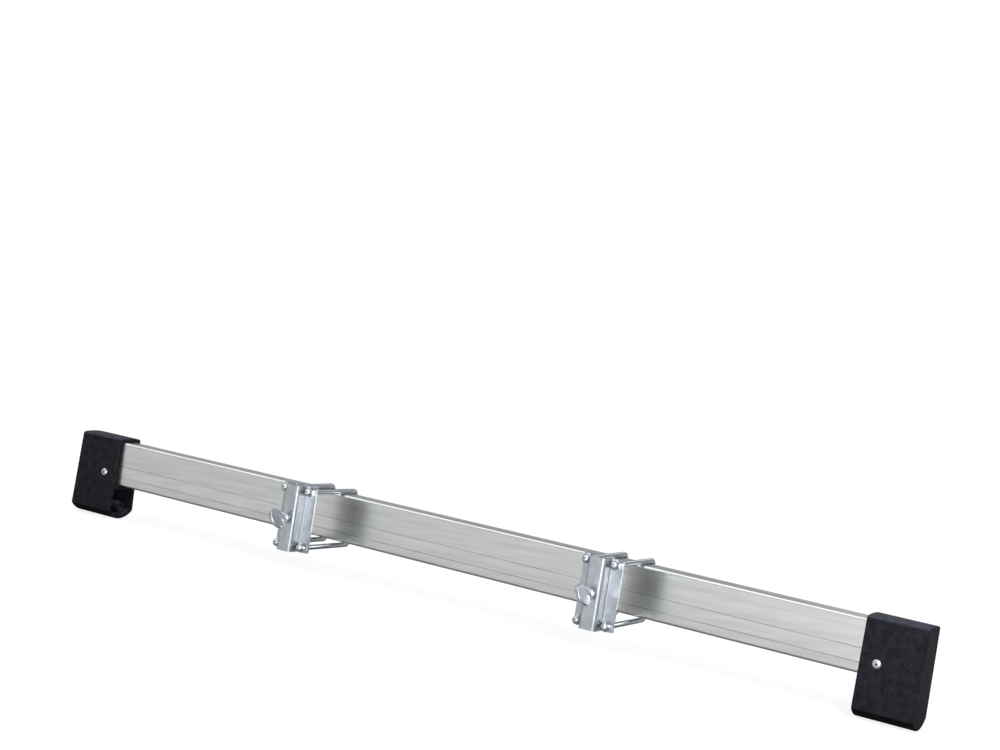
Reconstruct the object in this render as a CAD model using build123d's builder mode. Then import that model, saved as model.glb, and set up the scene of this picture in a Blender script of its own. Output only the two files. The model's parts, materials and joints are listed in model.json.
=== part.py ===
"""Ladder stabiliser bar: an aluminium crossbar on two rubber feet, held to a ladder by two stile clamps.

Frame: X runs along the bar, -Y is the front where the clamps stand, Z is up.
The origin is on the bar's front face, halfway along its length and halfway up its height.
All sizes are in millimetres.
"""
import os
from math import cos, radians, sin, tan

from build123d import *

# Crossbar: a hollow aluminium extrusion with shallow drawn lines on its front
bar_length = 1140.0
bar_height = 57.5
bar_depth = 28.5
bar_wall = 2.0
bar_corner = 3.0
bar_inner_corner = 1.0
groove_depth = 0.6
groove_width = 0.7
lower_groove_rise = 11.5
upper_groove_rise = 26.5

# Feet: moulded rubber caps over the bar's ends, flared and rounded like a heel
foot_width = 65.5
foot_end_wall = 6.0
foot_side_wall = 6.0
foot_top_wall = 4.0
foot_crown = 1.6
foot_flare = 3.8
foot_drop = 34.5
sole_round = 10.5
shoulder_radius = 3.5
heel_radius = 1.2
foot_outer_edge = 1.2
foot_inner_edge = 1.5
socket_clearance = 0.15
socket_lead_in = 1.6
pocket_wall = 5.5
pocket_roof = 5.0
pocket_depth = 46.0
pocket_corner = 2.0
boss_radius = 6.5
boss_hole_radius = 3.0
boss_hole_depth = 14.0
boss_drop = 28.5
boss_setback = 1.0

# Blind rivets that hold the feet
rivet_inset = 18.3
rivet_drop = 13.8
rivet_head_radius = 4.8
rivet_head_height = 1.6
rivet_shank_radius = 2.4
rivet_hole_clearance = 0.1
rivet_spot_margin = 0.6
rivet_spot_sink = 0.2
rivet_bulb_radius = 3.6
rivet_bulb_foot = 3.0
rivet_bulb_length = 4.5
mandrel_hole_radius = 1.5
mandrel_clearance = 0.05
mandrel_sink = 0.7
mandrel_head_radius = 2.2
mandrel_head_length = 2.0
mandrel_head_edge = 0.6

# Clamps: where they stand along the bar, and the stile that they take
clamp_spacing = 407.0
clamp_shift = 31.0
stile_depth = 58.5

# Hat-section clamp plate, bent from galvanised sheet
plate_sheet = 2.5
plate_side_margin = 6.75
plate_end_margin = 6.0
plate_corner = 1.5
hat_width = 20.0
hat_rise = 20.0
bend_inner_radius = 1.5
leg_hole_clearance = 0.3
screw_hole_clearance = 0.5

# U-bolts round the bar
rod_radius = 3.0
rod_clearance = 0.3
rod_slack = 3.2

# Cap nuts on the legs
nut_flats = 10.0
nut_side_gap = 0.5
nut_hex_height = 5.5
nut_height = 12.0
nut_dome_radius = 4.7
nut_chamfer_angle = 30.0
nut_chamfer_inset = 0.2
nut_bore_depth = 8.0
nut_thread_clearance = 0.05
leg_tip_gap = 1.0

# Thumb screw, the weld nut that carries it and the pad on its tip
screw_radius = 4.0
screw_clearance = 0.05
weld_nut_side_gap = 1.0
weld_nut_height = 6.5
weld_nut_chamfer = 0.8
paddle_radius = 12.0
paddle_reach = 20.0
paddle_thickness = 4.0
paddle_edge = 1.2
paddle_turn = -57.0
collar_radius = 6.2
collar_gap = 3.0
collar_length = 4.0
collar_edge = 0.6
neck_half_width = 5.6
neck_taper_length = 9.0
pad_side_gap = 1.0
pad_thickness = 5.0
pad_edge = 0.8
pad_socket_depth = 3.2
tip_radius = 3.0
tip_length = 3.0
tip_play = 0.1

# Places that follow from the sizes above
bar_top = bar_height / 2
bar_mid_depth = bar_depth / 2
foot_inner_face = bar_length / 2 + foot_end_wall - foot_width
foot_shoulder = bar_top + foot_top_wall
foot_heel = -bar_top - foot_drop
foot_flare_slope = foot_flare / (foot_shoulder - foot_heel)
rivet_reach = foot_inner_face + rivet_inset
rivet_spot_radius = rivet_head_radius + rivet_spot_margin
rivet_hole_radius = rivet_shank_radius + rivet_hole_clearance
rivet_spot_top = rivet_spot_radius - rivet_drop
rivet_seat = rivet_spot_sink - foot_side_wall - foot_flare_slope * (foot_shoulder - rivet_spot_top)
rivet_grip = rivet_seat - bar_wall
rivet_bulb_end = rivet_grip - rivet_bulb_length
flange_back = -stile_depth
flange_front = flange_back - plate_sheet
hat_front = flange_back - hat_rise
hat_back = hat_front + plate_sheet
channel_width = hat_width - 2 * plate_sheet
upper_leg = bar_top + rod_clearance + rod_radius
lower_leg = -bar_top - rod_slack - rod_radius
leg_spacing = upper_leg - lower_leg
leg_offset = hat_width / 2 + bend_inner_radius + nut_side_gap + nut_flats / 2
clamp_mid = (upper_leg + lower_leg) / 2
plate_width = 2 * (leg_offset + plate_side_margin)
plate_height = leg_spacing + 2 * plate_end_margin
bridge_depth = bar_depth + rod_clearance + rod_radius
leg_tip = flange_front - nut_bore_depth + leg_tip_gap
pad_front = flange_back - pad_thickness


def front_plane(x, y, z):
    """A plane that faces the front, with X to the right and Z up."""
    return Plane(origin=(x, y, z), x_dir=(1, 0, 0), z_dir=(0, -1, 0))


def turning_plane(x, y, z):
    """A plane for turned profiles: radius to the right, distance towards the front upwards."""
    return Plane(origin=(x, y, z), x_dir=(1, 0, 0), z_dir=(0, 0, -1))


def front_axis(x, y, z):
    """The axis of a turned piece that points to the front."""
    return Axis((x, y, z), (0, -1, 0))


def write(builder, name):
    """Label a finished piece and write it under its own name."""
    builder.part.label = name
    export_step(builder.part, f"parts/{name}.step")


def make_crossbar():
    """The hollow bar, with two drawn lines along its front and a rivet hole near each end."""
    with BuildPart() as crossbar:
        with BuildSketch(Plane.YZ.offset(-bar_length / 2)):
            with Locations((bar_mid_depth, 0)):
                RectangleRounded(bar_depth, bar_height, bar_corner)
                RectangleRounded(
                    bar_depth - 2 * bar_wall,
                    bar_height - 2 * bar_wall,
                    bar_inner_corner,
                    mode=Mode.SUBTRACT,
                )
            with Locations((0, lower_groove_rise - bar_top), (0, upper_groove_rise - bar_top)):
                Rectangle(2 * groove_depth, groove_width, mode=Mode.SUBTRACT)
        extrude(amount=bar_length)
        with BuildSketch(front_plane(0, 0, -rivet_drop)):
            with Locations((-rivet_reach, 0), (rivet_reach, 0)):
                Circle(rivet_hole_radius)
        extrude(amount=-2 * bar_wall, mode=Mode.SUBTRACT)
    return crossbar


def foot_outline():
    """The edges of the foot seen along the bar: crowned top, flared sides and a rounded sole."""
    top_half = bar_mid_depth + foot_side_wall
    heel_half = top_half + foot_flare
    front_shoulder = (bar_mid_depth - top_half, foot_shoulder)
    rear_shoulder = (bar_mid_depth + top_half, foot_shoulder)
    front_heel = (bar_mid_depth - heel_half, foot_heel)
    rear_heel = (bar_mid_depth + heel_half, foot_heel)
    with BuildLine() as outline:
        Line(front_heel, front_shoulder)
        ThreePointArc(front_shoulder, (bar_mid_depth, foot_shoulder + foot_crown), rear_shoulder)
        Line(rear_shoulder, rear_heel)
        ThreePointArc(rear_heel, (bar_mid_depth, foot_heel - sole_round), front_heel)
    return outline.edges()


def make_foot(side):
    """A foot on the end of the bar at the given side, -1 on the left and 1 on the right."""
    inner_plane = Plane.YZ.offset(side * foot_inner_face)
    pocket_floor = Plane.YZ.offset(side * (foot_inner_face + pocket_depth))
    outwards = Axis((0, 0, 0), (side, 0, 0))
    with BuildPart() as foot:
        with BuildSketch(inner_plane) as outline:
            make_face(foot_outline())
            fillet(outline.vertices().group_by(Axis.Y)[-1], shoulder_radius)
            fillet(outline.vertices().group_by(Axis.Y)[0], heel_radius)
        extrude(amount=side * foot_width)
        fillet(foot.faces().sort_by(outwards)[-1].edges(), foot_outer_edge)
        fillet(foot.faces().sort_by(outwards)[0].edges(), foot_inner_edge)

        # Socket for the bar, with a lead-in round its mouth
        with BuildSketch(inner_plane):
            with Locations((bar_mid_depth, 0)):
                RectangleRounded(
                    bar_depth + 2 * socket_clearance,
                    bar_height + 2 * socket_clearance,
                    bar_corner + socket_clearance,
                )
        extrude(amount=side * (foot_width - foot_end_wall), mode=Mode.SUBTRACT)
        mouth = foot.faces().sort_by(outwards)[0]
        chamfer(mouth.inner_wires()[0].edges(), socket_lead_in)

        # Hollow under the bar, open towards the ladder, with a tubular boss in it
        with BuildSketch(inner_plane) as pocket:
            make_face(foot_outline())
            offset(amount=-pocket_wall, mode=Mode.REPLACE)
            with Locations((bar_mid_depth, -bar_top - pocket_roof)):
                Rectangle(
                    2 * foot_width, 2 * foot_width, align=(Align.CENTER, Align.MIN), mode=Mode.SUBTRACT
                )
            fillet(pocket.vertices(), pocket_corner)
        extrude(amount=side * pocket_depth, mode=Mode.SUBTRACT)
        with BuildSketch(pocket_floor):
            with Locations((bar_mid_depth, -bar_top - boss_drop)):
                Circle(boss_radius)
        extrude(amount=-side * (pocket_depth - boss_setback))
        with BuildSketch(inner_plane.offset(side * boss_setback)):
            with Locations((bar_mid_depth, -bar_top - boss_drop)):
                Circle(boss_hole_radius)
        extrude(amount=side * boss_hole_depth, mode=Mode.SUBTRACT)

        # Flat seat and hole for the rivet in the front wall
        with BuildSketch(front_plane(side * rivet_reach, rivet_seat, -rivet_drop)):
            Circle(rivet_spot_radius)
        extrude(amount=foot_flare, mode=Mode.SUBTRACT)
        with BuildSketch(front_plane(side * rivet_reach, rivet_seat, -rivet_drop)):
            Circle(rivet_hole_radius)
        extrude(amount=rivet_seat, mode=Mode.SUBTRACT)
    return foot


def make_rivet(side):
    """The hollow body of a blind rivet: low domed head, shank, and the bulb inside the bar."""
    place = (side * rivet_reach, rivet_seat, -rivet_drop)
    bulb_mid = (rivet_grip + rivet_bulb_end) / 2
    rim_height = rivet_head_height / 4
    with BuildPart() as rivet:
        with BuildSketch(turning_plane(*place)):
            with BuildLine():
                Polyline(
                    (mandrel_hole_radius, rivet_head_height),
                    (mandrel_hole_radius, rivet_bulb_end),
                    (rivet_bulb_foot, rivet_bulb_end),
                )
                ThreePointArc(
                    (rivet_bulb_foot, rivet_bulb_end),
                    (rivet_bulb_radius, bulb_mid),
                    (rivet_bulb_foot, rivet_grip),
                )
                Polyline(
                    (rivet_bulb_foot, rivet_grip),
                    (rivet_shank_radius, rivet_grip),
                    (rivet_shank_radius, 0),
                    (rivet_head_radius, 0),
                    (rivet_head_radius, rim_height),
                )
                TangentArc(
                    (rivet_head_radius, rim_height), (mandrel_hole_radius, rivet_head_height), tangent=(-1, 1)
                )
            make_face()
        revolve(axis=front_axis(*place))
    return rivet


def make_mandrel(side):
    """The steel mandrel that stays in a blind rivet: a snapped stem, and a head behind the bulb."""
    place = (side * rivet_reach, rivet_seat, -rivet_drop)
    stem_radius = mandrel_hole_radius - mandrel_clearance
    stem_end = rivet_head_height - mandrel_sink
    head_end = rivet_bulb_end - mandrel_head_length
    with BuildPart() as mandrel:
        with BuildSketch(turning_plane(*place)):
            with BuildLine():
                Polyline(
                    (0, stem_end),
                    (stem_radius, stem_end),
                    (stem_radius, rivet_bulb_end),
                    (mandrel_head_radius, rivet_bulb_end),
                    (mandrel_head_radius, head_end + mandrel_head_edge),
                    (mandrel_head_radius - mandrel_head_edge, head_end),
                    (0, head_end),
                    close=True,
                )
            make_face()
        revolve(axis=front_axis(*place))
    return mandrel


def make_clamp_plate(centre):
    """The hat-section plate in front of the stile, with holes for the legs and the thumb screw."""
    half_width = plate_width / 2
    half_hat = hat_width / 2
    half_channel = channel_width / 2
    bend_outer_radius = bend_inner_radius + plate_sheet
    front_line = [
        (-half_width, flange_front),
        (-half_hat, flange_front),
        (-half_hat, hat_front),
        (half_hat, hat_front),
        (half_hat, flange_front),
        (half_width, flange_front),
    ]
    back_line = [
        (half_width, flange_back),
        (half_channel, flange_back),
        (half_channel, hat_back),
        (-half_channel, hat_back),
        (-half_channel, flange_back),
        (-half_width, flange_back),
    ]
    with BuildPart() as plate:
        with BuildSketch(Plane((centre, 0, clamp_mid - plate_height / 2))):
            with BuildLine():
                FilletPolyline(
                    *front_line,
                    radius=[bend_inner_radius, bend_outer_radius, bend_outer_radius, bend_inner_radius],
                )
                Line(front_line[-1], back_line[0])
                FilletPolyline(
                    *back_line,
                    radius=[bend_outer_radius, bend_inner_radius, bend_inner_radius, bend_outer_radius],
                )
                Line(back_line[-1], front_line[0])
            make_face()
        extrude(amount=plate_height)
        upright_ends = plate.edges().filter_by(Axis.Y).group_by(Axis.X)
        fillet(upright_ends[0] + upright_ends[-1], plate_corner)
        with BuildSketch(front_plane(centre, flange_back, clamp_mid)):
            with GridLocations(2 * leg_offset, leg_spacing, 2, 2):
                Circle(rod_radius + leg_hole_clearance)
            Circle(screw_radius + screw_hole_clearance)
        extrude(amount=hat_rise, mode=Mode.SUBTRACT)
    return plate


def make_u_bolt(leg_x):
    """A square U-bolt: two legs over and under the bar, joined by a bridge behind it."""
    leg_plane = Plane.YZ.offset(leg_x)
    with BuildPart() as u_bolt:
        with BuildLine(leg_plane):
            FilletPolyline(
                (leg_tip, upper_leg),
                (bridge_depth, upper_leg),
                (bridge_depth, lower_leg),
                (leg_tip, lower_leg),
                radius=bar_corner + rod_radius,
            )
        with BuildSketch(front_plane(leg_x, leg_tip, upper_leg)):
            Circle(rod_radius)
        sweep()
    return u_bolt


def make_cap_nuts(leg_x):
    """The two domed cap nuts on the legs of one U-bolt."""
    dome_base = nut_height - nut_dome_radius
    chamfer_start = nut_flats / 2 - nut_chamfer_inset
    chamfer_drop = nut_flats / 2 * tan(radians(nut_chamfer_angle))
    dome_mid = (nut_dome_radius * sin(radians(45)), dome_base + nut_dome_radius * cos(radians(45)))
    with BuildPart() as nuts:
        for height in (upper_leg, lower_leg):
            seat = front_plane(leg_x, flange_front, height)
            with BuildSketch(seat):
                RegularPolygon(nut_flats / 2, side_count=6, major_radius=False, rotation=30)
            extrude(amount=nut_hex_height)
            with BuildSketch(turning_plane(leg_x, flange_front, height)):
                with BuildLine():
                    Polyline(
                        (chamfer_start, nut_hex_height),
                        (chamfer_start + nut_flats / 2, nut_hex_height),
                        (chamfer_start + nut_flats / 2, nut_hex_height - chamfer_drop),
                        close=True,
                    )
                make_face()
            revolve(axis=front_axis(leg_x, flange_front, height), mode=Mode.SUBTRACT)
            with BuildSketch(turning_plane(leg_x, flange_front, height)):
                with BuildLine():
                    Polyline((0, nut_height), (0, 0), (nut_dome_radius, 0), (nut_dome_radius, dome_base))
                    ThreePointArc((nut_dome_radius, dome_base), dome_mid, (0, nut_height))
                make_face()
            revolve(axis=front_axis(leg_x, flange_front, height))
            with BuildSketch(seat):
                Circle(rod_radius + nut_thread_clearance)
            extrude(amount=nut_bore_depth, mode=Mode.SUBTRACT)
    return nuts


def make_weld_nut(centre):
    """The hexagon nut welded in the channel behind the raised middle of the plate."""
    seat = front_plane(centre, hat_back, clamp_mid)
    half_flats = channel_width / 2 - weld_nut_side_gap
    with BuildPart() as weld_nut:
        with BuildSketch(seat):
            RegularPolygon(half_flats, side_count=6, major_radius=False, rotation=30)
        extrude(amount=-weld_nut_height)
        chamfer(weld_nut.edges().group_by(Axis.Y)[0], weld_nut_chamfer)
        with BuildSketch(seat):
            Circle(screw_radius + screw_clearance)
        extrude(amount=-weld_nut_height, mode=Mode.SUBTRACT)
    return weld_nut


def make_thumb_screw(centre):
    """The thumb screw: a fan-shaped paddle on a collar, the shank and a reduced tip."""
    turn = radians(paddle_turn)
    sideways = (cos(turn), 0, sin(turn))
    across = (sin(turn), 0, -cos(turn))
    paddle_plane = Plane(origin=(centre, hat_front, clamp_mid), x_dir=sideways, z_dir=across)
    shank_end = hat_front - pad_front + tip_play
    collar_end = collar_gap + collar_length
    taper_end = collar_end + neck_taper_length
    with BuildPart() as screw:
        with BuildSketch(paddle_plane):
            with Locations((0, paddle_reach)):
                Circle(paddle_radius)
            with Locations((0, collar_end)):
                Rectangle(2 * neck_half_width, collar_length, align=(Align.CENTER, Align.MAX))
            make_hull()
        extrude(amount=paddle_thickness / 2, both=True)
        flat_faces = screw.faces().filter_by(Axis(paddle_plane.origin, paddle_plane.z_dir))
        fillet(flat_faces.edges(), paddle_edge)
        with BuildSketch(turning_plane(centre, hat_front, clamp_mid)):
            with BuildLine():
                Polyline(
                    (0, taper_end),
                    (paddle_thickness / 2, taper_end),
                    (screw_radius, collar_end),
                    (collar_radius - collar_edge, collar_end),
                    (collar_radius, collar_end - collar_edge),
                    (collar_radius, collar_gap + collar_edge),
                    (collar_radius - collar_edge, collar_gap),
                    (screw_radius, collar_gap),
                    (screw_radius, shank_end),
                    (tip_radius, shank_end),
                    (tip_radius, shank_end - tip_length),
                    (0, shank_end - tip_length),
                    close=True,
                )
            make_face()
        revolve(axis=front_axis(centre, hat_front, clamp_mid))
    return screw


def make_pressure_pad(centre):
    """The pad that turns on the screw's tip and bears on the stile."""
    with BuildPart() as pad:
        with BuildSketch(front_plane(centre, flange_back, clamp_mid)):
            Circle(channel_width / 2 - pad_side_gap)
        extrude(amount=pad_thickness)
        chamfer(pad.edges().group_by(Axis.Y)[0], pad_edge)
        with BuildSketch(front_plane(centre, pad_front, clamp_mid)):
            Circle(tip_radius + screw_clearance)
        extrude(amount=-pad_socket_depth, mode=Mode.SUBTRACT)
    return pad


os.makedirs("parts", exist_ok=True)
write(make_crossbar(), "crossbar")
for hand, side in (("left", -1), ("right", 1)):
    clamp_x = clamp_shift + side * clamp_spacing / 2
    outer_leg_x = clamp_x + side * leg_offset
    inner_leg_x = clamp_x - side * leg_offset
    write(make_foot(side), f"{hand}_foot")
    write(make_rivet(side), f"{hand}_foot_rivet")
    write(make_mandrel(side), f"{hand}_rivet_mandrel")
    write(make_clamp_plate(clamp_x), f"{hand}_clamp_plate")
    write(make_u_bolt(outer_leg_x), f"{hand}_outer_u_bolt")
    write(make_u_bolt(inner_leg_x), f"{hand}_inner_u_bolt")
    write(make_cap_nuts(outer_leg_x), f"{hand}_outer_cap_nuts")
    write(make_cap_nuts(inner_leg_x), f"{hand}_inner_cap_nuts")
    write(make_weld_nut(clamp_x), f"{hand}_weld_nut")
    write(make_thumb_screw(clamp_x), f"{hand}_thumb_screw")
    write(make_pressure_pad(clamp_x), f"{hand}_pressure_pad")
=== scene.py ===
# %% [markdown]
# # A ladder stabiliser bar
# The imported CAD model is the fixed frame of this scene: every solid is already in its place, in metres,
# with X along the bar, Z up and the clamps standing to the front, towards -Y. Blender adds what the
# solids leave out: finishes, screw threads, light and a camera. The box of the bare CAD model is kept,
# and the table is laid at its bottom.

# %% Load the frame
import json
import math

import bmesh
import bpy
from mathutils import Matrix, Vector


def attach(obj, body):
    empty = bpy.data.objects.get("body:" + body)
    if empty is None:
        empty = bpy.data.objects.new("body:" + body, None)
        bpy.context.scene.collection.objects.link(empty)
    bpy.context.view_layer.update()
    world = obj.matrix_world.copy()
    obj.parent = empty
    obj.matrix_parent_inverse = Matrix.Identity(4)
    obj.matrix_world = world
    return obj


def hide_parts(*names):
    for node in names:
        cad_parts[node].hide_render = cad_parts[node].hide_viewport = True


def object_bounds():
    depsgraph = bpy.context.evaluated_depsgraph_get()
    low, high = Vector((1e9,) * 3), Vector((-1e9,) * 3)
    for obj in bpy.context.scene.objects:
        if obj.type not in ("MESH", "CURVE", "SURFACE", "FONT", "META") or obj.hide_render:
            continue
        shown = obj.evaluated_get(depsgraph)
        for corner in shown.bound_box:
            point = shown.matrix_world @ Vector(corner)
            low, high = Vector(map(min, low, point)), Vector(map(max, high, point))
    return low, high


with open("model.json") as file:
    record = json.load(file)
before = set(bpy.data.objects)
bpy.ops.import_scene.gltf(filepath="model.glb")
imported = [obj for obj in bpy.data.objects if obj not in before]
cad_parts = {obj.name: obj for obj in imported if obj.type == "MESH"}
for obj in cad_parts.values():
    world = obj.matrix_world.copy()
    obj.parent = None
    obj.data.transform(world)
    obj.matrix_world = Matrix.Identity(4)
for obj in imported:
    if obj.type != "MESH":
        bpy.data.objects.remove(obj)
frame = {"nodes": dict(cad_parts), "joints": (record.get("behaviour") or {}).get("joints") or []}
nodes = frame["nodes"]
cad_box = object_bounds()
print("nodes:", len(nodes), "box:", [tuple(round(v, 4) for v in corner) for corner in cad_box])

# %% [markdown]
# ## Three small helpers
# Colours are written as sRGB hex values, the way a colour picker shows them, and turned to linear light
# once. A node graph is a list of additions, so one function adds a node, sets it up and links its
# inputs, in shaders and in Geometry Nodes alike. Every finish starts from an empty material, so that
# each node in it is there for a reason.

# %% Colour, node and material helpers
MM = 0.001
# A Mix node repeats the names of its sockets for numbers and for colours, so they go by their places
NUMBER_A, NUMBER_B = 2, 3
COLOUR_A, COLOUR_B, MIXED_COLOUR = 6, 7, 2


def linear(hex_colour):
    """sRGB hex to a linear RGBA tuple."""
    channels = [int(hex_colour[i:i + 2], 16) / 255 for i in (1, 3, 5)]
    return tuple(c / 12.92 if c <= 0.04045 else ((c + 0.055) / 1.055) ** 2.4 for c in channels) + (1.0,)


def add(tree, kind, inputs=None, **settings):
    """Add a node, set its properties, then give each named or numbered input a value or a link."""
    node = tree.nodes.new(kind)
    for name, value in settings.items():
        setattr(node, name, value)
    for key, value in (inputs or {}).items():
        if isinstance(value, bpy.types.NodeSocket):
            tree.links.new(value, node.inputs[key])
        else:
            node.inputs[key].default_value = value
    return node


def empty_material(name):
    """A material with no nodes yet, and its tree."""
    material = bpy.data.materials.new(name)
    material.use_nodes = True
    material.node_tree.nodes.clear()
    return material, material.node_tree


print("white is", linear("#FFFFFF"))

# %% [markdown]
# ## The camera
# The photograph was solved for its camera with points on the bar, the clamps and the feet: a long lens,
# about two metres away, a little above the bar and rolled by nine degrees. A new camera looks straight
# down, so it is rolled about its line of sight, tipped up until it looks only a little down, turned to
# its heading and moved to its place.

# %% Camera
camera_place = Vector((1.00139, -1.70144, 0.28630))
heading, look_down, roll = math.radians(29.520), math.radians(2.344), math.radians(9.042)
camera_data = bpy.data.cameras.new("camera")
camera_data.sensor_fit = "HORIZONTAL"
camera_data.sensor_width = 36.0
camera_data.lens = 60.939
camera_data.clip_end = 60.0
camera = bpy.data.objects.new("camera", camera_data)
camera.matrix_world = (
    Matrix.Translation(camera_place)
    @ Matrix.Rotation(heading, 4, "Z")
    @ Matrix.Rotation(math.radians(90) - look_down, 4, "X")
    @ Matrix.Rotation(roll, 4, "Z")
)
bpy.context.scene.collection.objects.link(camera)
bpy.context.scene.camera = camera
bpy.context.scene.view_settings.view_transform = "Standard"
print("camera", round(camera_place.length, 3), "m from the origin")

# %% [markdown]
# ## The room
# Bare metal shows what is around it, so the room matters more than the lamps. It is pale near the
# horizon and dark overhead, and its front right is far brighter than its back left, as beside a window:
# that is what gives the bent plates their light flanks and the bar its darker top. A picture of a real
# room would do as well. Two gradients are plainer, and each can be set by itself.

# %% Tones of the room
# They are linear light, because the window's side is brighter than white
pale, pale_up_to = (0.52, 0.52, 0.52, 1.0), 0.12
dark, dark_from = (0.16, 0.16, 0.16, 1.0), 0.7
shade, window = (0.43, 0.47, 0.53, 1.0), (1.5, 1.56, 1.68, 1.0)
to_window, blend_reach = (0.85, -0.52, 0.0), 0.8
world = bpy.data.worlds.new("studio_room")
bpy.context.scene.world = world
world.use_nodes = True
tree = world.node_tree
tree.nodes.clear()
direction = add(tree, "ShaderNodeTexCoord").outputs["Generated"]
climb = add(tree, "ShaderNodeSeparateXYZ", {0: direction})
height = add(tree, "ShaderNodeValToRGB", {0: climb.outputs["Z"]})
for stop, rise, tone in zip(height.color_ramp.elements, (pale_up_to, dark_from), (pale, dark)):
    stop.position = rise
    stop.color = tone
window_side = add(tree, "ShaderNodeVectorMath", {0: direction, 1: to_window}, operation="DOT_PRODUCT")
sideways = add(tree, "ShaderNodeMapRange", {
    "Value": window_side.outputs["Value"], "From Min": -blend_reach, "From Max": blend_reach,
})
daylight = add(tree, "ShaderNodeMix", {
    "Factor": sideways.outputs[0], COLOUR_A: shade, COLOUR_B: window,
}, data_type="RGBA")
room = add(tree, "ShaderNodeMix", {
    "Factor": 1.0, COLOUR_A: height.outputs[0], COLOUR_B: daylight.outputs[MIXED_COLOUR],
}, data_type="RGBA", blend_type="MULTIPLY")
print("room nodes", len(tree.nodes))

# %% [markdown]
# The lens sees plain white behind the object. Mirrors see a little of that white over the room's own
# tone, and glass would see all of it. The table needs such a share too, so a function works it out.


# %% White for the lens
def white_share(tree, in_mirrors):
    """How much plain white a ray meets: all of it for the lens and through glass, a share in mirrors."""
    path = add(tree, "ShaderNodeLightPath").outputs
    mirrored = add(tree, "ShaderNodeMath", {0: path["Is Glossy Ray"], 1: in_mirrors}, operation="MULTIPLY")
    direct = add(tree, "ShaderNodeMath", {
        0: path["Is Camera Ray"], 1: path["Is Transmission Ray"],
    }, operation="MAXIMUM")
    either = add(tree, "ShaderNodeMath", {0: direct.outputs[0], 1: mirrored.outputs[0]}, operation="MAXIMUM")
    return either.outputs[0]


shown = add(tree, "ShaderNodeMix", {
    "Factor": white_share(tree, in_mirrors=0.18),
    COLOUR_A: room.outputs[MIXED_COLOUR], COLOUR_B: linear("#FFFFFF"),
}, data_type="RGBA")
background = add(tree, "ShaderNodeBackground", {"Color": shown.outputs[MIXED_COLOUR], "Strength": 1.0})
add(tree, "ShaderNodeOutputWorld", {"Surface": background.outputs[0]})
print("world nodes", len(tree.nodes))

# %% [markdown]
# ## Lamps
# Four soft lamps. The key hangs to the right of the lens and lights object and table. The overhead one
# is long and runs along the bar: it draws the thin line of light on the bar's top edge and the
# highlights on the domes of the nuts. The low one stands behind the lens: two walls of a plate at right
# angles throw light back to where it came from, so this lamp is what the flanks and the bends of the
# clamps mirror. The weak one at the back is for the round rods, which mirror what is behind and above
# them: it gives each a bright line along its upper side.


# %% Lamps
def soft_lamp(name, size, power, at, towards, tint="#FFFFFF"):
    """A rectangular soft lamp that looks from one point to another."""
    data = bpy.data.lights.new(name, "AREA")
    data.shape = "RECTANGLE"
    data.size, data.size_y = size
    data.energy = power
    data.color = linear(tint)[:3]
    lamp = bpy.data.objects.new(name, data)
    turn = (Vector(at) - Vector(towards)).to_track_quat("Z", "Y").to_matrix().to_4x4()
    lamp.matrix_world = Matrix.Translation(at) @ turn
    bpy.context.scene.collection.objects.link(lamp)


soft_lamp(
    "key", size=(1.4, 1.4), power=50.0,
    at=(1.9, -1.7, 1.8), towards=(0.3, -0.5, 0.0), tint="#F6F8FF",
)
soft_lamp(
    "overhead", size=(6.4, 2.9), power=82.0,
    at=(-0.9, -0.6, 2.3), towards=(-0.9, -0.4, 0.0), tint="#F6F9FF",
)
soft_lamp(
    "low", size=(1.0, 0.6), power=28.0,
    at=(1.15, -1.98, 0.23), towards=(0.05, 0.0, 0.0), tint="#EEF3FF",
)
soft_lamp(
    "back", size=(0.9, 0.8), power=2.4,
    at=(0.15, 2.4, 1.35), towards=(0.05, 0.0, 0.0),
)

# %% [markdown]
# ## The table
# A plain table, so large that its far edge is lost in the white behind it. One square face is enough.
# It lies at the bottom of the CAD box, so the feet stand on it.

# %% Table top
reach, level = 15.0, cad_box[0].z
corners = ((-reach, -reach), (reach, -reach), (reach, reach), (-reach, reach))
floor_mesh = bpy.data.meshes.new("floor")
floor_mesh.from_pydata([(x, y, level) for x, y in corners], [], [(0, 1, 2, 3)])
floor = bpy.data.objects.new("floor", floor_mesh)
bpy.context.scene.collection.objects.link(floor)
print("floor at", round(level / MM, 2), "mm")

# %% [markdown]
# The table is matt white. To the lens it glows, a little less close to the object, which keeps it white
# while a soft shadow stays on it. Mirrors see it mostly as it is lit, with a painted shadow close under
# the bar: there it is darker, so that undersides, soles and lower edges stay dark as over an open ground.

# %% White of the table
near, far = 600 * MM, 3000 * MM
near_glow, far_glow = 0.84, 1.0
painted_shadow_within, pale_beyond = 40 * MM, 220 * MM
table, tree = empty_material("white_table")
spot = add(tree, "ShaderNodeTexCoord").outputs["Object"]
away = add(tree, "ShaderNodeVectorMath", {0: spot}, operation="LENGTH")
fade = add(tree, "ShaderNodeMapRange", {
    "Value": away.outputs["Value"],
    "From Min": near, "From Max": far, "To Min": near_glow, "To Max": far_glow,
})
row = add(tree, "ShaderNodeSeparateXYZ", {0: spot})
beside = add(tree, "ShaderNodeMath", {0: row.outputs["Y"]}, operation="ABSOLUTE")
# In a band along the bar the table is painted dark, #4C4C4C, for all but the lens: a painted shadow.
clear = add(tree, "ShaderNodeMapRange", {
    "Value": beside.outputs[0], "From Min": painted_shadow_within, "From Max": pale_beyond,
})
ground = add(tree, "ShaderNodeMix", {
    "Factor": clear.outputs[0], COLOUR_A: linear("#4C4C4C"), COLOUR_B: linear("#D4D4D4"),
}, data_type="RGBA")
matt = add(tree, "ShaderNodeBsdfDiffuse", {"Color": ground.outputs[MIXED_COLOUR]})
dim = add(tree, "ShaderNodeBsdfDiffuse", {"Color": linear("#7C7C7C")})
glow = add(tree, "ShaderNodeEmission", {"Color": linear("#FFFFFF"), "Strength": fade.outputs[0]})
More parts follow.
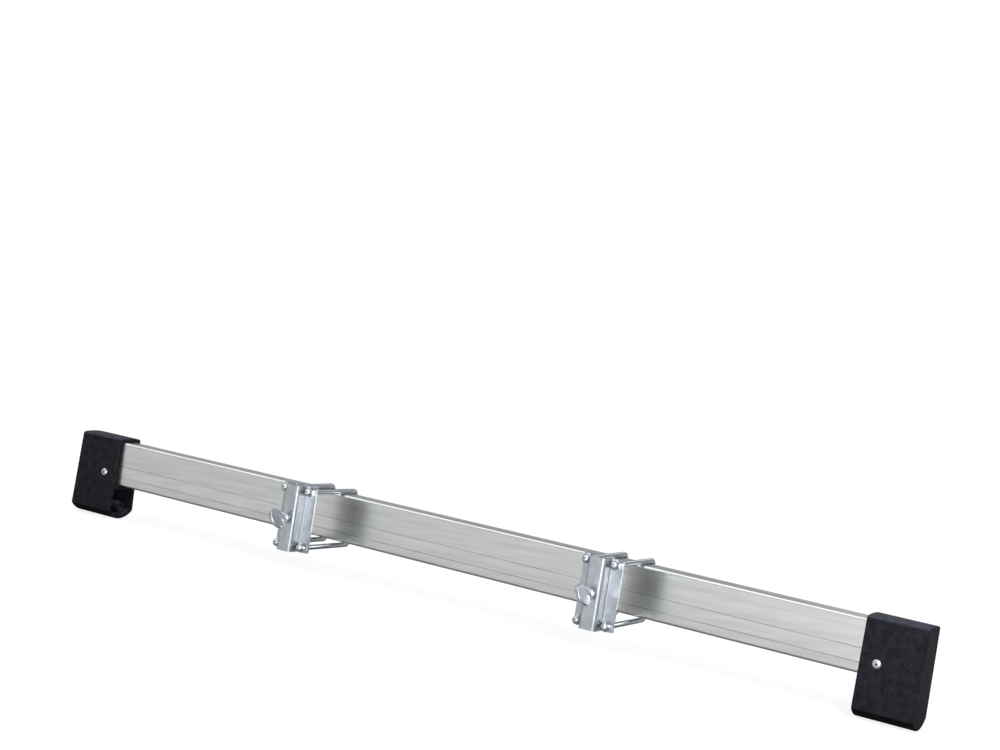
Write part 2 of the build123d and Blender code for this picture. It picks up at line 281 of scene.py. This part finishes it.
bright = add(tree, "ShaderNodeAddShader", {0: dim.outputs[0], 1: glow.outputs[0]})
both = add(tree, "ShaderNodeMixShader", {
    0: white_share(tree, in_mirrors=0.12), 1: matt.outputs[0], 2: bright.outputs[0],
})
add(tree, "ShaderNodeOutputMaterial", {"Surface": both.outputs[0]})
floor_mesh.materials.append(table)
print("table nodes", len(tree.nodes))

# %% [markdown]
# ## Mill-finish aluminium
# The bar is extruded and left as it comes: the die drags fine lines along its whole length, and broader
# streaks show where the metal flowed faster. Handling leaves faint cloudy patches, and wiping leaves
# short streaks a few degrees off the length. One way is a painted texture. Here noise is stretched to
# the length and width of each mark instead. The real die lines are hair-fine, so they are drawn about a
# millimetre wide to show.

# %% Marks on the bar
aluminium, tree = empty_material("mill_finish_aluminium")
spot = add(tree, "ShaderNodeTexCoord").outputs["Object"]
marks = {}
for mark, length, width, turn, detail in (
    ("die lines", 400 * MM, 1.2 * MM, 0, 2.0),
    ("flow", 900 * MM, 11 * MM, 0, 1.0),
    ("handling", 45 * MM, 14 * MM, 0, 4.0),
    ("wiping", 60 * MM, 5 * MM, -5, 0.0),
):
    stretched = add(tree, "ShaderNodeMapping", {
        "Vector": spot, "Rotation": (0.0, math.radians(turn), 0.0), "Scale": (length, width, width),
    }, vector_type="TEXTURE")
    noise = add(tree, "ShaderNodeTexNoise", {"Vector": stretched.outputs[0], "Scale": 1.0, "Detail": detail})
    marks[mark] = noise.outputs["Fac"]
    print(mark, round(length / MM, 1), "x", round(width / MM, 1), "mm")

# %% [markdown]
# The two drawn lines, which only the bar's front has, are painted darker: painted shade in the grooves,
# with soil along them. The distance from a height halfway between the lines finds both at once. The
# front lies at Y = 0 and the lines are 0.6 mm deep, so a thin skin from there holds them. Noise makes
# the darkening uneven along them.

# %% Painted shade and soil in the drawn lines
upper_line, lower_line = -2.25 * MM, -17.25 * MM
shade_and_soil_half_width, front_skin, soil_patch = 0.4 * MM, 1.0 * MM, 70 * MM
on_bar = add(tree, "ShaderNodeSeparateXYZ", {0: spot})
from_halfway = add(tree, "ShaderNodeMath", {
    0: on_bar.outputs["Z"], 1: (upper_line + lower_line) / 2,
}, operation="SUBTRACT")
aside = add(tree, "ShaderNodeMath", {0: from_halfway.outputs[0]}, operation="ABSOLUTE")
in_line = add(tree, "ShaderNodeMath", {
    0: aside.outputs[0], 1: (upper_line - lower_line) / 2, 2: shade_and_soil_half_width,
}, operation="COMPARE")
in_front = add(tree, "ShaderNodeMath", {0: on_bar.outputs["Y"], 1: front_skin}, operation="LESS_THAN")
groove = add(tree, "ShaderNodeMath", {0: in_line.outputs[0], 1: in_front.outputs[0]}, operation="MULTIPLY")
soil = add(tree, "ShaderNodeTexNoise", {"Vector": spot, "Scale": 1 / soil_patch, "Detail": 2.0})
packed = add(tree, "ShaderNodeMapRange", {
    "Value": soil.outputs["Fac"], "From Min": 0.3, "From Max": 0.6, "To Min": 0.3,
})
shade_and_soil_in_lines = add(tree, "ShaderNodeMath", {0: groove.outputs[0], 1: packed.outputs[0]}, operation="MULTIPLY")
print("drawn lines", round((upper_line - lower_line) / MM, 2), "mm apart")

# %% [markdown]
# Flow, die lines and wiping move the tone, die lines and handling move the roughness, and the die lines
# also give a faint bump. Lines along the bar scatter light more across themselves than along, so the
# shader is a little anisotropic: on the bar's front a reflection is smeared further up and down than
# along the bar.

# %% Aluminium of the bar
streaks = add(tree, "ShaderNodeMix", {"Factor": 0.35, NUMBER_A: marks["flow"], NUMBER_B: marks["die lines"]})
wiped = add(tree, "ShaderNodeMix", {"Factor": 0.3, NUMBER_A: streaks.outputs[0], NUMBER_B: marks["wiping"]})
tone = add(tree, "ShaderNodeMapRange", {"Value": wiped.outputs[0], "From Min": 0.35, "From Max": 0.65})
clean = add(tree, "ShaderNodeMix", {
    "Factor": tone.outputs[0], COLOUR_A: linear("#D5D5CE"), COLOUR_B: linear("#E9E9E2"),
}, data_type="RGBA")
# The drawn lines are painted #A2A29F: painted shade in the grooves, with soil.
colour = add(tree, "ShaderNodeMix", {
    "Factor": shade_and_soil_in_lines.outputs[0], COLOUR_A: clean.outputs[MIXED_COLOUR], COLOUR_B: linear("#A2A29F"),
}, data_type="RGBA")
scatter = add(tree, "ShaderNodeMix", {
    "Factor": 0.4, NUMBER_A: marks["die lines"], NUMBER_B: marks["handling"],
})
gloss = add(tree, "ShaderNodeMapRange", {
    "Value": scatter.outputs[0], "From Min": 0.35, "From Max": 0.65, "To Min": 0.28, "To Max": 0.33,
})
relief = add(tree, "ShaderNodeBump", {"Height": marks["die lines"], "Strength": 0.04, "Distance": 0.02 * MM})
around = add(tree, "ShaderNodeTangent", direction_type="RADIAL", axis="X")
shader = add(tree, "ShaderNodeBsdfPrincipled", {
    "Base Color": colour.outputs[MIXED_COLOUR], "Metallic": 1.0, "Roughness": gloss.outputs[0],
    "Normal": relief.outputs[0], "Anisotropic": 0.35, "Tangent": around.outputs[0],
})
add(tree, "ShaderNodeOutputMaterial", {"Surface": shader.outputs[0]})
print("aluminium nodes", len(tree.nodes))

# %% [markdown]
# ## Moulded rubber
# The feet are black rubber from a sand-blasted mould: matt, with a fine grain that catches the light,
# and a grey bloom of dust and handling. Dust settles in short pale scuffs on what faces up. The sole,
# which faces down, is painted near black: painted shade. A painted mask could say where. Here the
# surface's own direction does, which also fits the rounded edges.

# %% Bloom and dust of the rubber
bloom_size, scuff_length, scuff_width = 8 * MM, 9 * MM, 3 * MM
rubber, tree = empty_material("moulded_black_rubber")
spot = add(tree, "ShaderNodeTexCoord").outputs["Object"]
bloom = add(tree, "ShaderNodeTexNoise", {
    "Vector": spot, "Scale": 1 / bloom_size, "Detail": 5.0, "Roughness": 0.75,
})
cloudy = add(tree, "ShaderNodeMapRange", {"Value": bloom.outputs["Fac"], "From Min": 0.36, "From Max": 0.66})
body = add(tree, "ShaderNodeMix", {
    "Factor": cloudy.outputs[0], COLOUR_A: linear("#0B0B0D"), COLOUR_B: linear("#202026"),
}, data_type="RGBA")
scuffs_at = add(tree, "ShaderNodeMapping", {
    "Vector": spot, "Scale": (scuff_length, scuff_width, scuff_width),
}, vector_type="TEXTURE")
scuffs = add(tree, "ShaderNodeTexNoise", {
    "Vector": scuffs_at.outputs[0], "Scale": 1.0, "Detail": 4.0, "Roughness": 0.7,
})
pale_scuffs = add(tree, "ShaderNodeMapRange", {
    "Value": scuffs.outputs["Fac"], "From Min": 0.4, "From Max": 0.7, "To Min": 0.25, "To Max": 1.0,
})
facing = add(tree, "ShaderNodeSeparateXYZ", {0: add(tree, "ShaderNodeNewGeometry").outputs["Normal"]})
upward = add(tree, "ShaderNodeMapRange", {"Value": facing.outputs["Z"], "From Min": 0.25, "From Max": 0.95})
dust = add(tree, "ShaderNodeMath", {0: upward.outputs[0], 1: pale_scuffs.outputs[0]}, operation="MULTIPLY")
print("bloom", round(bloom_size / MM, 1), "mm, scuffs", round(scuff_length / MM, 1), "mm long")

# %% [markdown]
# The real grit of the mould is about a third of a millimetre, too fine for the picture, so the grain is
# drawn at one millimetre. Filled rubber reflects less than clear plastic, so its specular level is low.

# %% Rubber of the feet
grain_size = 1.0 * MM
dusty = add(tree, "ShaderNodeMix", {
    "Factor": dust.outputs[0], COLOUR_A: body.outputs[MIXED_COLOUR], COLOUR_B: linear("#484853"),
}, data_type="RGBA")
# The sole, facing down, is painted near black with #060607: painted shade.
off_painted_sole_shade = add(tree, "ShaderNodeMapRange", {
    "Value": facing.outputs["Z"], "From Min": -0.5, "From Max": -0.15,
})
colour = add(tree, "ShaderNodeMix", {
    "Factor": off_painted_sole_shade.outputs[0], COLOUR_A: linear("#060607"), COLOUR_B: dusty.outputs[MIXED_COLOUR],
}, data_type="RGBA")
grain = add(tree, "ShaderNodeTexNoise", {"Vector": spot, "Scale": 1 / grain_size, "Detail": 3.0})
gloss = add(tree, "ShaderNodeMapRange", {
    "Value": grain.outputs["Fac"], "From Min": 0.3, "From Max": 0.7, "To Min": 0.66, "To Max": 0.86,
})
relief = add(tree, "ShaderNodeBump", {
    "Height": grain.outputs["Fac"], "Strength": 0.5, "Distance": 0.12 * MM,
})
shader = add(tree, "ShaderNodeBsdfPrincipled", {
    "Base Color": colour.outputs[MIXED_COLOUR], "Roughness": gloss.outputs[0], "IOR": 1.52,
    "Specular IOR Level": 0.14, "Normal": relief.outputs[0],
})
add(tree, "ShaderNodeOutputMaterial", {"Surface": shader.outputs[0]})
print("rubber: grain", round(grain_size / MM, 1), "mm")

# %% [markdown]
# ## Galvanised sheet
# Hot zinc freezes in flat crystals, the spangle: each one has its own brightness, because it is tilted
# its own way. Voronoi cells of about six millimetres give the crystals, with their borders bent by
# noise, and their random colour moves tone and roughness a little. A dull skin of zinc oxide over the
# metal scatters part of the light, so the material isn't wholly metallic.

# %% Galvanised steel of the clamp plates
spangle_size, bend_size, bend_push, skin_size = 6 * MM, 5 * MM, 4 * MM, 1.5 * MM
galvanised, tree = empty_material("galvanised_sheet_steel")
spot = add(tree, "ShaderNodeTexCoord").outputs["Object"]
bend = add(tree, "ShaderNodeTexNoise", {"Vector": spot, "Scale": 1 / bend_size, "Detail": 2.0})
push = add(tree, "ShaderNodeVectorMath", {
    0: bend.outputs["Color"], 1: (bend_push, bend_push, bend_push),
}, operation="MULTIPLY")
bent = add(tree, "ShaderNodeVectorMath", {0: spot, 1: push.outputs[0]}, operation="ADD")
crystal = add(tree, "ShaderNodeTexVoronoi", {"Vector": bent.outputs[0], "Scale": 1 / spangle_size})
tilt = add(tree, "ShaderNodeSeparateColor", {0: crystal.outputs["Color"]})
skin = add(tree, "ShaderNodeTexNoise", {"Vector": spot, "Scale": 1 / skin_size, "Detail": 3.0})
tone = add(tree, "ShaderNodeMix", {
    "Factor": 0.5, NUMBER_A: tilt.outputs["Red"], NUMBER_B: skin.outputs["Fac"],
})
colour = add(tree, "ShaderNodeMix", {
    "Factor": tone.outputs[0], COLOUR_A: linear("#A7AAAB"), COLOUR_B: linear("#C4C7C8"),
}, data_type="RGBA")
gloss = add(tree, "ShaderNodeMapRange", {"Value": tilt.outputs["Green"], "To Min": 0.28, "To Max": 0.31})
relief = add(tree, "ShaderNodeBump", {
    "Height": skin.outputs["Fac"], "Strength": 0.08, "Distance": 0.03 * MM,
})
shader = add(tree, "ShaderNodeBsdfPrincipled", {
    "Base Color": colour.outputs[MIXED_COLOUR], "Metallic": 0.9, "Roughness": gloss.outputs[0],
    "Normal": relief.outputs[0],
})
add(tree, "ShaderNodeOutputMaterial", {"Surface": shader.outputs[0]})
print("galvanised sheet: spangle", round(spangle_size / MM, 1), "mm")

# %% [markdown]
# ## Zinc-plated rod
# The U-bolts are bent from drawn rod and plated with zinc: smooth, bright along the upper side and dark
# below, with slight clouds where the plating took differently. A soft noise of a few millimetres is
# enough. Most of the other small pieces are made the same way, so one function takes the size of the
# clouds, the two tones, the range of roughness and, for a cast or moulded skin, the relief.


# %% Rod of the U-bolts
def clouded_finish(name, cloud, detail, tones, gloss, spread=(0.0, 1.0), relief=None, **surface):
    """A finish whose colour, roughness and relief follow one noise. Other names are the shader's inputs."""
    material, tree = empty_material(name)
    spot = add(tree, "ShaderNodeTexCoord").outputs["Object"]
    clouds = add(tree, "ShaderNodeTexNoise", {"Vector": spot, "Scale": 1 / cloud, "Detail": detail})
    colour = add(tree, "ShaderNodeMix", {
        "Factor": clouds.outputs["Fac"], COLOUR_A: linear(tones[0]), COLOUR_B: linear(tones[1]),
    }, data_type="RGBA")
    surface["Base Color"] = colour.outputs[MIXED_COLOUR]
    roughness = add(tree, "ShaderNodeMapRange", {
        "Value": clouds.outputs["Fac"], "From Min": spread[0], "From Max": spread[1],
        "To Min": gloss[0], "To Max": gloss[1],
    })
    surface["Roughness"] = roughness.outputs[0]
    if relief:
        strength, depth = relief
        bump = add(tree, "ShaderNodeBump", {
            "Height": clouds.outputs["Fac"], "Strength": strength, "Distance": depth,
        })
        surface["Normal"] = bump.outputs[0]
    shader = add(tree, "ShaderNodeBsdfPrincipled", surface)
    add(tree, "ShaderNodeOutputMaterial", {"Surface": shader.outputs[0]})
    print(name, "has clouds of", round(cloud / MM, 1), "mm")
    return material


rod = clouded_finish(
    "zinc_plated_rod", cloud=4 * MM, detail=3.0, tones=("#9A9EA2", "#BCC0C4"),
    gloss=(0.12, 0.2), spread=(0.3, 0.7), Metallic=1.0,
)

# %% [markdown]
# ## Bright nuts
# Domed cap nuts are turned and then plated bright. A dome mirrors the whole room in a few millimetres,
# which is why nuts look black and white in photographs. Low roughness does it, with a trace of plating
# haze.

# %% Plating of the cap nuts
nut = clouded_finish(
    "bright_plated_nut_steel", cloud=2 * MM, detail=3.0, tones=("#B4B8BB", "#D2D5D8"),
    gloss=(0.05, 0.12), spread=(0.3, 0.7), Metallic=1.0,
)

# %% [markdown]
# ## Plated casting
# The thumb screws are malleable castings with a cut thread, zinc plated: the fan keeps the slightly
# uneven skin of the mould, so its highlights break up. Fine noise moves the bump, the roughness and, a
# little, the colour.

# %% Casting of the thumb screws
casting = clouded_finish(
    "zinc_plated_casting", cloud=1.4 * MM, detail=3.0, tones=("#A6A9AC", "#C2C5C7"),
    gloss=(0.26, 0.4), spread=(0.3, 0.7), relief=(0.35, 0.06 * MM), Metallic=1.0,
)

# %% [markdown]
# ## Rivets
# A blind rivet has two metals: the set body is satin aluminium, a bright ring on the black foot, and
# the snapped steel mandrel in its middle is dull and dark. Both are small. A light noise in colour and
# roughness is enough for the body. The mandrel's torn end keeps one roughness, and its noise moves the
# colour and a deep bump.

# %% Rivet body and mandrel
satin = clouded_finish(
    "satin_rivet_aluminium", cloud=0.8 * MM, detail=2.0, tones=("#C4C6C7", "#DADCDD"),
    gloss=(0.2, 0.4), Metallic=1.0,
)
torn_grain = 0.5 * MM
snapped, tree = empty_material("snapped_mandrel_steel")
spot = add(tree, "ShaderNodeTexCoord").outputs["Object"]
torn = add(tree, "ShaderNodeTexNoise", {"Vector": spot, "Scale": 1 / torn_grain, "Detail": 3.0})
colour = add(tree, "ShaderNodeMix", {
    "Factor": torn.outputs["Fac"], COLOUR_A: linear("#2E2E30"), COLOUR_B: linear("#565658"),
}, data_type="RGBA")
relief = add(tree, "ShaderNodeBump", {
    "Height": torn.outputs["Fac"], "Strength": 0.8, "Distance": 0.15 * MM,
})
shader = add(tree, "ShaderNodeBsdfPrincipled", {
    "Base Color": colour.outputs[MIXED_COLOUR], "Metallic": 1.0, "Roughness": 0.5,
    "Normal": relief.outputs[0],
})
add(tree, "ShaderNodeOutputMaterial", {"Surface": shader.outputs[0]})
print("mandrel: torn grain", round(torn_grain / MM, 1), "mm")

# %% [markdown]
# ## Hidden metal and plastic
# The weld nut behind each plate is plain steel with blue-grey heat tint, and the pad on the screw's tip
# is moulded black plastic. The photograph shows neither, but from behind both can be seen, so they get
# the same care.

# %% Weld nut and pressure pad
plain = clouded_finish(
    "plain_steel_heat_tinted", cloud=3 * MM, detail=3.0, tones=("#6E7076", "#9C9A96"),
    gloss=(0.34, 0.56), Metallic=1.0,
)
plastic = clouded_finish(
    "moulded_black_plastic", cloud=0.8 * MM, detail=2.0, tones=("#161617", "#232325"),
    gloss=(0.34, 0.56), relief=(0.3, 0.05 * MM), IOR=1.5,
)

# %% [markdown]
# ## Every solid gets its finish
# Left and right pieces are alike, so a piece's name without its side says what it is made of.

# %% Assign the finishes
finishes = {
    "crossbar": aluminium,
    "foot": rubber,
    "foot_rivet": satin,
    "rivet_mandrel": snapped,
    "clamp_plate": galvanised,
    "outer_u_bolt": rod,
    "inner_u_bolt": rod,
    "outer_cap_nuts": nut,
    "inner_cap_nuts": nut,
    "weld_nut": plain,
    "thumb_screw": casting,
    "pressure_pad": plastic,
}
for name, solid in nodes.items():
    solid.data.materials.clear()
    solid.data.materials.append(finishes[name.removeprefix("left_").removeprefix("right_")])
print({name: solid.data.materials[0].name for name, solid in nodes.items()})

# %% [markdown]
# ## The thread of the thumb screws
# In the CAD model the screw's shank is a plain cylinder of the thread's outer size. A real M8 thread is
# a ridge of 60 degrees that climbs 1.25 mm each turn, cut into the rod. Geometry Nodes make the ridge.
# Their tree has the thread's sizes as named inputs, so another screw needs only other numbers.

# %% Inputs of a thread
thread_tree = bpy.data.node_groups.new("thread_ridge", "GeometryNodeTree")
thread_tree.interface.new_socket("Geometry", in_out="OUTPUT", socket_type="NodeSocketGeometry")
thread_inputs = {}
for label, kind in (
    ("Root radius", "NodeSocketFloat"), ("Ridge height", "NodeSocketFloat"), ("Pitch", "NodeSocketFloat"),
    ("Length", "NodeSocketFloat"), ("Start", "NodeSocketVector"), ("Finish", "NodeSocketMaterial"),
):
    socket = thread_tree.interface.new_socket(label, in_out="INPUT", socket_type=kind)
    thread_inputs[label] = socket.identifier
print("thread inputs:", thread_inputs)

# %% [markdown]
# A helix is a path with a profile swept along it: a spiral, a trapezium for the ridge, and Curve to
# Mesh. The node's own spiral is left-handed, so it is reversed. The trapezium is turned to stand
# outwards on the path, and the whole ridge is laid along the screw.

# %% Node tree of a thread
points_per_turn, crest_share, thread_angle = 28, 1 / 8, math.radians(60)
quarter_back = math.radians(-90)
given = add(thread_tree, "NodeGroupInput").outputs
turns = add(thread_tree, "ShaderNodeMath", {0: given["Length"], 1: given["Pitch"]}, operation="DIVIDE")
spiral = add(thread_tree, "GeometryNodeCurveSpiral", {
    "Resolution": points_per_turn, "Rotations": turns.outputs[0], "Start Radius": given["Root radius"],
    "End Radius": given["Root radius"], "Height": given["Length"], "Reverse": True,
})
upright = add(thread_tree, "GeometryNodeSetCurveNormal", {"Curve": spiral.outputs[0]}, mode="Z_UP")
crest_width = add(thread_tree, "ShaderNodeMath", {0: given["Pitch"], 1: crest_share}, operation="MULTIPLY")
foot_width = add(thread_tree, "ShaderNodeMath", {
    0: given["Ridge height"], 1: 2 * math.tan(thread_angle / 2), 2: crest_width.outputs[0],
}, operation="MULTIPLY_ADD")
ridge = add(thread_tree, "GeometryNodeCurvePrimitiveQuadrilateral", {
    "Bottom Width": foot_width.outputs[0], "Top Width": crest_width.outputs[0], "Offset": 0.0,
    "Height": given["Ridge height"],
}, mode="TRAPEZOID")
middle = add(thread_tree, "ShaderNodeMath", {0: given["Ridge height"], 1: 0.5}, operation="MULTIPLY")
outwards = add(thread_tree, "ShaderNodeCombineXYZ", {"X": middle.outputs[0]})
standing = add(thread_tree, "GeometryNodeTransform", {
    "Geometry": ridge.outputs[0], "Translation": outwards.outputs[0], "Rotation": (0.0, 0.0, quarter_back),
})
swept = add(thread_tree, "GeometryNodeCurveToMesh", {
    "Curve": upright.outputs[0], "Profile Curve": standing.outputs[0], "Fill Caps": True,
})
laid = add(thread_tree, "GeometryNodeTransform", {
    "Geometry": swept.outputs[0], "Translation": given["Start"], "Rotation": (quarter_back, 0.0, 0.0),
})
real = add(thread_tree, "GeometryNodeRealizeInstances", {0: laid.outputs[0]})
coated = add(thread_tree, "GeometryNodeSetMaterial", {
    "Geometry": real.outputs[0], "Material": given["Finish"],
})
add(thread_tree, "NodeGroupOutput", {0: coated.outputs[0]})
print("thread nodes", len(thread_tree.nodes))

# %% [markdown]
# The ridge is evaluated once for each screw and turned into a plain mesh. Its foot is sunk a little
# into the shank, so that the two leave no gap.


# %% Ridge of one screw
shank_radius, root_radius, pitch = 4.0 * MM, 3.25 * MM, 1.25 * MM
sunk = 0.1 * MM


def swept_ridge(start, length):
    """The thread's ridge as a plain mesh, from a point on the screw's axis along +Y."""
    holder = bpy.data.objects.new("ridge", bpy.data.meshes.new("ridge"))
    bpy.context.scene.collection.objects.link(holder)
    modifier = holder.modifiers.new("thread", "NODES")
    modifier.node_group = thread_tree
    for label, value in {
        "Root radius": root_radius - sunk, "Ridge height": shank_radius - root_radius + sunk,
        "Pitch": pitch, "Length": length, "Start": start, "Finish": casting,
    }.items():
        modifier[thread_inputs[label]] = value
    evaluated = holder.evaluated_get(bpy.context.evaluated_depsgraph_get())
    mesh = bpy.data.meshes.new_from_object(evaluated)
    bpy.data.objects.remove(holder)
    return mesh


print("ridge", round((shank_radius - root_radius) / MM, 2), "mm high")

# %% [markdown]
# The ridge joins a copy of the CAD screw whose shank is drawn in to the thread's root, and the pair
# replaces the CAD node and turns with the same body. The joint's point lies on the front of the plate.
# A plane 4 mm in front of it cuts the collar, and the shank's corners are those behind that plane.

# %% Threaded screws
merge_distance, radius_tolerance = 0.001 * MM, 0.02 * MM
collar_cut, run_out, sharp_angle = 4.0 * MM, 0.9 * MM, math.radians(32)
for joint in [j for j in frame["joints"] if j["name"].endswith("_screw_turn")]:
    hand = joint["name"].removesuffix("_screw_turn")
    axis = Vector(joint["pos_m"])
    build = bmesh.new()
    build.from_mesh(nodes[f"{hand}_thumb_screw"].data)
    bmesh.ops.remove_doubles(build, verts=build.verts, dist=merge_distance)
    shank = []
    for corner in build.verts:
        off = Vector((corner.co.x - axis.x, 0.0, corner.co.z - axis.z))
        on_shank = abs(off.length - shank_radius) < radius_tolerance
        if on_shank and corner.co.y > axis.y - collar_cut:
            corner.co -= off * (1 - root_radius / shank_radius)
            shank.append(corner.co.y)
    start, length = min(shank), max(shank) - run_out - min(shank)
    ridge_mesh = swept_ridge((axis.x, start, axis.z), length)
    build.from_mesh(ridge_mesh)
    threaded = bpy.data.meshes.new(f"{hand}_threaded_screw")
    build.to_mesh(threaded)
    build.free()
    threaded.materials.clear()
    threaded.materials.append(casting)
    threaded.shade_smooth()
    threaded.set_sharp_from_angle(angle=sharp_angle)
    piece = bpy.data.objects.new(f"{hand}_threaded_screw", threaded)
    bpy.context.scene.collection.objects.link(piece)
    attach(piece, joint["child"])
    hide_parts(f"{hand}_thumb_screw")
    radii = [math.hypot(v.co.x - axis.x, v.co.z - axis.z) / MM for v in ridge_mesh.vertices]
    reached = [round(min(radii), 3), round(max(radii), 3)]
    print(hand, "thread", round(length / MM, 2), "mm long, radii", reached)
